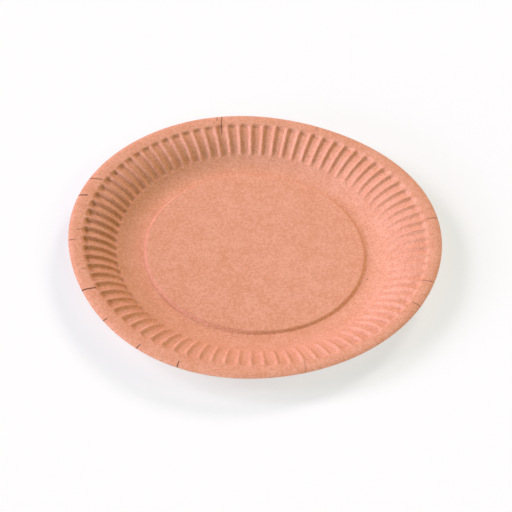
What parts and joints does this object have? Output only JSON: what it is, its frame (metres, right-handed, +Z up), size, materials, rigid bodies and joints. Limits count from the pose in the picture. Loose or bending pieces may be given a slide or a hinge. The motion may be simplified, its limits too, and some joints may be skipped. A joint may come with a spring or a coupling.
{
  "type": "paper plate",
  "caption": "Round pressed paper plate with a raised centre panel, a radially fluted wall and a plain sloping rim split in places.",
  "frame": {"origin": "centre of the plate, in the plane of the table it rests on", "axes": "+Z up out of the well, along the plate's axis; +X to the right and +Y away from the camera as pictured"},
  "size_m": [0.2302, 0.2302, 0.0154],
  "materials": {
    "card": "uncoated brown kraft card, matt, with fine fibre mottling and a slightly darker cut edge"
  },
  "bodies": {
    "root": {"plate": "card"}
  },
  "joints": []
}
